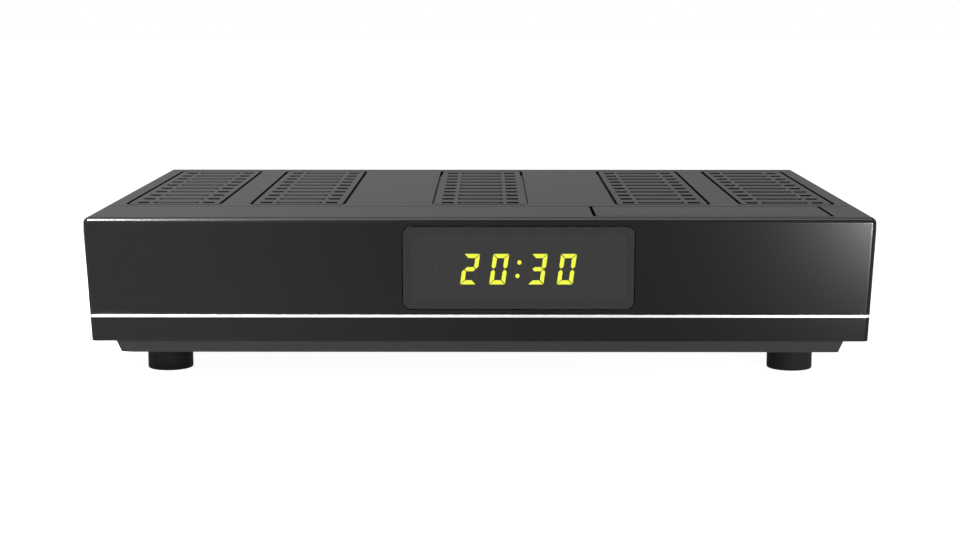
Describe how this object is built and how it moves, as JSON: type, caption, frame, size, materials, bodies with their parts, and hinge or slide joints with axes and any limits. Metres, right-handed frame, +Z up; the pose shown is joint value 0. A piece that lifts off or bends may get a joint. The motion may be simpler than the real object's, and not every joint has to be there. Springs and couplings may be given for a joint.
{
  "type": "satellite tv receiver",
  "caption": "Low black set-top receiver with a slotted top cover, smoked clock window, silver trim strip, one key plate on top and aerial, picture, network and sound sockets behind.",
  "frame": {"origin": "centre of the outline, on the surface under the feet", "axes": "+X along the width, towards the key plate's side, +Y to the back, +Z up"},
  "size_m": [0.2214, 0.1604, 0.045],
  "materials": {
    "case_black": "satin",
    "tray_black": "fine texture",
    "panel_black": "powder coated",
    "foot_rubber": "matte",
    "trim_silver": "metallised, gloss",
    "smoked_window": "smoked, gloss",
    "lit_yellow": "lit",
    "unlit_grey": "frosted",
    "inner_black": "satin",
    "lens_dark": "gloss",
    "board_green": "solder mask",
    "stem_white": "satin",
    "tinned_steel": "tinned",
    "nickel": "nickel plated",
    "insulator_white": "satin",
    "insulator_orange": "satin",
    "contact_gold": "gold plated",
    "rocker_black": "semi-gloss",
    "chip_black": "moulded epoxy",
    "bare_aluminium": "extruded",
    "capacitor_sleeve": "sleeve",
    "ribbon_grey": "satin",
    "screw_black": "black oxide"
  },
  "bodies": {
    "chassis": {"front_bezel": "case_black", "top_cover": "case_black", "bottom_tray": "tray_black", "rear_panel": "panel_black", "rubber_feet": "foot_rubber", "trim_strip": "trim_silver", "display_window": "smoked_window", "lit_segments": "lit_yellow", "unlit_segments": "unlit_grey", "display_holder": "inner_black", "display_module": "inner_black", "infrared_receiver": "lens_dark", "front_board": "board_green", "key_board": "board_green", "switch_bodies": "inner_black", "tuner_can": "tinned_steel", "aerial_input_jack": "nickel", "aerial_loop_jack": "nickel", "aerial_insulators": "insulator_white", "aerial_nuts": "nickel", "hdmi_socket": "tinned_steel", "hdmi_tongue": "inner_black", "usb_socket": "tinned_steel", "usb_tongue": "inner_black", "network_socket": "inner_black", "network_contacts": "contact_gold", "scart_socket": "inner_black", "scart_contact_block": "inner_black", "coax_jack": "nickel", "coax_block": "inner_black", "coax_core": "insulator_orange", "dc_inlet": "inner_black", "dc_pin": "nickel", "power_switch_body": "inner_black", "main_board": "board_green", "processor_chip": "chip_black", "heat_sink": "bare_aluminium", "memory_chips": "chip_black", "capacitors": "capacitor_sleeve", "inductors": "chip_black", "board_connectors": "insulator_white", "ribbon_cable": "ribbon_grey", "case_screws": "screw_black"},
    "key_plate": {"key_plate": "case_black"},
    "switch_stems": {"switch_stems": "stem_white"},
    "power_rocker": {"power_rocker": "rocker_black"}
  },
  "joints": [
    {"name": "key_press", "type": "hinge", "parent": "chassis", "child": "key_plate", "pos_m": [0.06573, -0.05375, 0.0405], "axis": [1, 0, 0], "range_deg": [0, 1.2], "stiffness_Nm_per_rad": 2.5},
    {"name": "stem_travel", "type": "slide", "parent": "chassis", "child": "switch_stems", "axis": [0, 0, -1], "range_m": [0, 0.0002325]},
    {"name": "rocker_turn", "type": "hinge", "parent": "chassis", "child": "power_rocker", "pos_m": [-0.09635, 0.06865, 0.0258], "axis": [1, 0, 0], "range_deg": [-24, 0]}
  ],
  "couplings": [
    {"joint": "stem_travel", "follows": "key_press", "m_per_rad": 0.0111}
  ]
}
